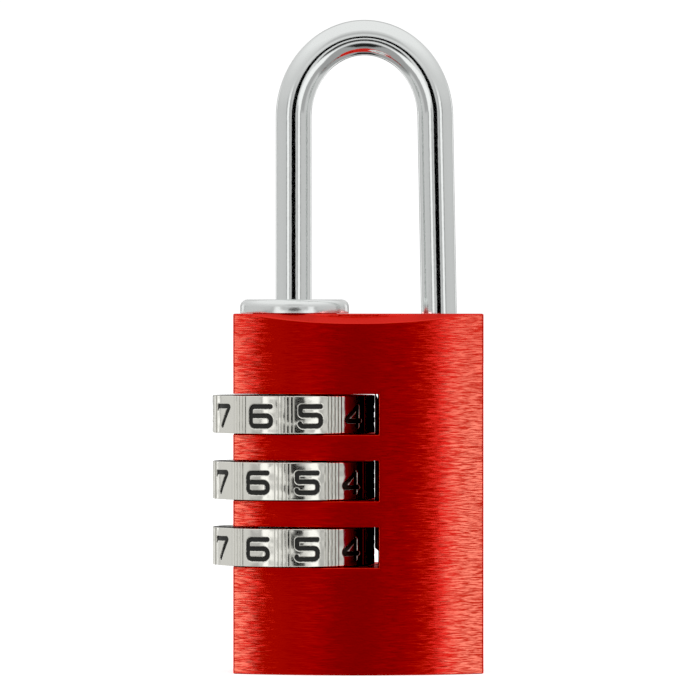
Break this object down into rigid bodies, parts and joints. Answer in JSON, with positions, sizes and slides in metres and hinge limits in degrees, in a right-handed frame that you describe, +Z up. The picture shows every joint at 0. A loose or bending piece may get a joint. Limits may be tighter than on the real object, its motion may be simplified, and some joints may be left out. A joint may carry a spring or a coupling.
{
  "type": "combination padlock",
  "caption": "Small padlock with a bowed metal body, three number dials on a vertical axis at one side and a round wire shackle that lifts when the dials line up.",
  "frame": {"origin": "centre of the body's flat bottom face", "axes": "+Z up along the legs towards the bow, +X towards the short toe leg, -Y the bowed front face"},
  "size_m": [0.0227, 0.0136, 0.055],
  "materials": {
    "anodised_body": "horizontally brushed, red anodised",
    "polished_chrome": "polished",
    "satin_nickel": "satin, black-filled engraved digits",
    "cast_zinc": "as cast",
    "spring_steel": "oil blackened"
  },
  "bodies": {
    "case": {"body": "anodised_body", "top_bushing": "polished_chrome", "bottom_plug": "anodised_body", "return_spring": "spring_steel", "detent_spring": "spring_steel", "detent_plug": "anodised_body"},
    "shackle": {"shackle": "polished_chrome", "locking_spindle": "cast_zinc", "spindle_pin": "spring_steel"},
    "dial_upper": {"dial_upper": "satin_nickel"},
    "dial_middle": {"dial_middle": "satin_nickel"},
    "dial_lower": {"dial_lower": "satin_nickel"},
    "sleeve_upper": {"sleeve_upper": "cast_zinc"},
    "sleeve_middle": {"sleeve_middle": "cast_zinc"},
    "sleeve_lower": {"sleeve_lower": "cast_zinc"},
    "spring_washer": {"spring_washer": "cast_zinc"}
  },
  "joints": [
    {"name": "shackle_lift", "type": "slide", "parent": "case", "child": "shackle", "axis": [0, 0, 1], "range_m": [0, 0.00555]},
    {"name": "dial_upper_spin", "type": "hinge", "parent": "case", "child": "dial_upper", "pos_m": [-0.00546, 0, 0.02178], "axis": [0, 0, 1], "continuous": true},
    {"name": "dial_middle_spin", "type": "hinge", "parent": "case", "child": "dial_middle", "pos_m": [-0.00546, 0, 0.01623], "axis": [0, 0, 1], "continuous": true},
    {"name": "dial_lower_spin", "type": "hinge", "parent": "case", "child": "dial_lower", "pos_m": [-0.00546, 0, 0.01068], "axis": [0, 0, 1], "continuous": true},
    {"name": "washer_shift", "type": "slide", "parent": "case", "child": "spring_washer", "axis": [0, 0, -1], "range_m": [0, 0.001], "stiffness_N_per_m": 150, "springref_m": -0.01, "deforming": ["return_spring"]},
    {"name": "sleeve_upper_shift", "type": "slide", "parent": "dial_upper", "child": "sleeve_upper", "axis": [0, 0, -1], "range_m": [0, 0.001]},
    {"name": "sleeve_middle_shift", "type": "slide", "parent": "dial_middle", "child": "sleeve_middle", "axis": [0, 0, -1], "range_m": [0, 0.001]},
    {"name": "sleeve_lower_shift", "type": "slide", "parent": "dial_lower", "child": "sleeve_lower", "axis": [0, 0, -1], "range_m": [0, 0.001]}
  ],
  "couplings": [
    {"joint": "sleeve_upper_shift", "follows": "washer_shift", "ratio": 1},
    {"joint": "sleeve_middle_shift", "follows": "washer_shift", "ratio": 1},
    {"joint": "sleeve_lower_shift", "follows": "washer_shift", "ratio": 1}
  ]
}
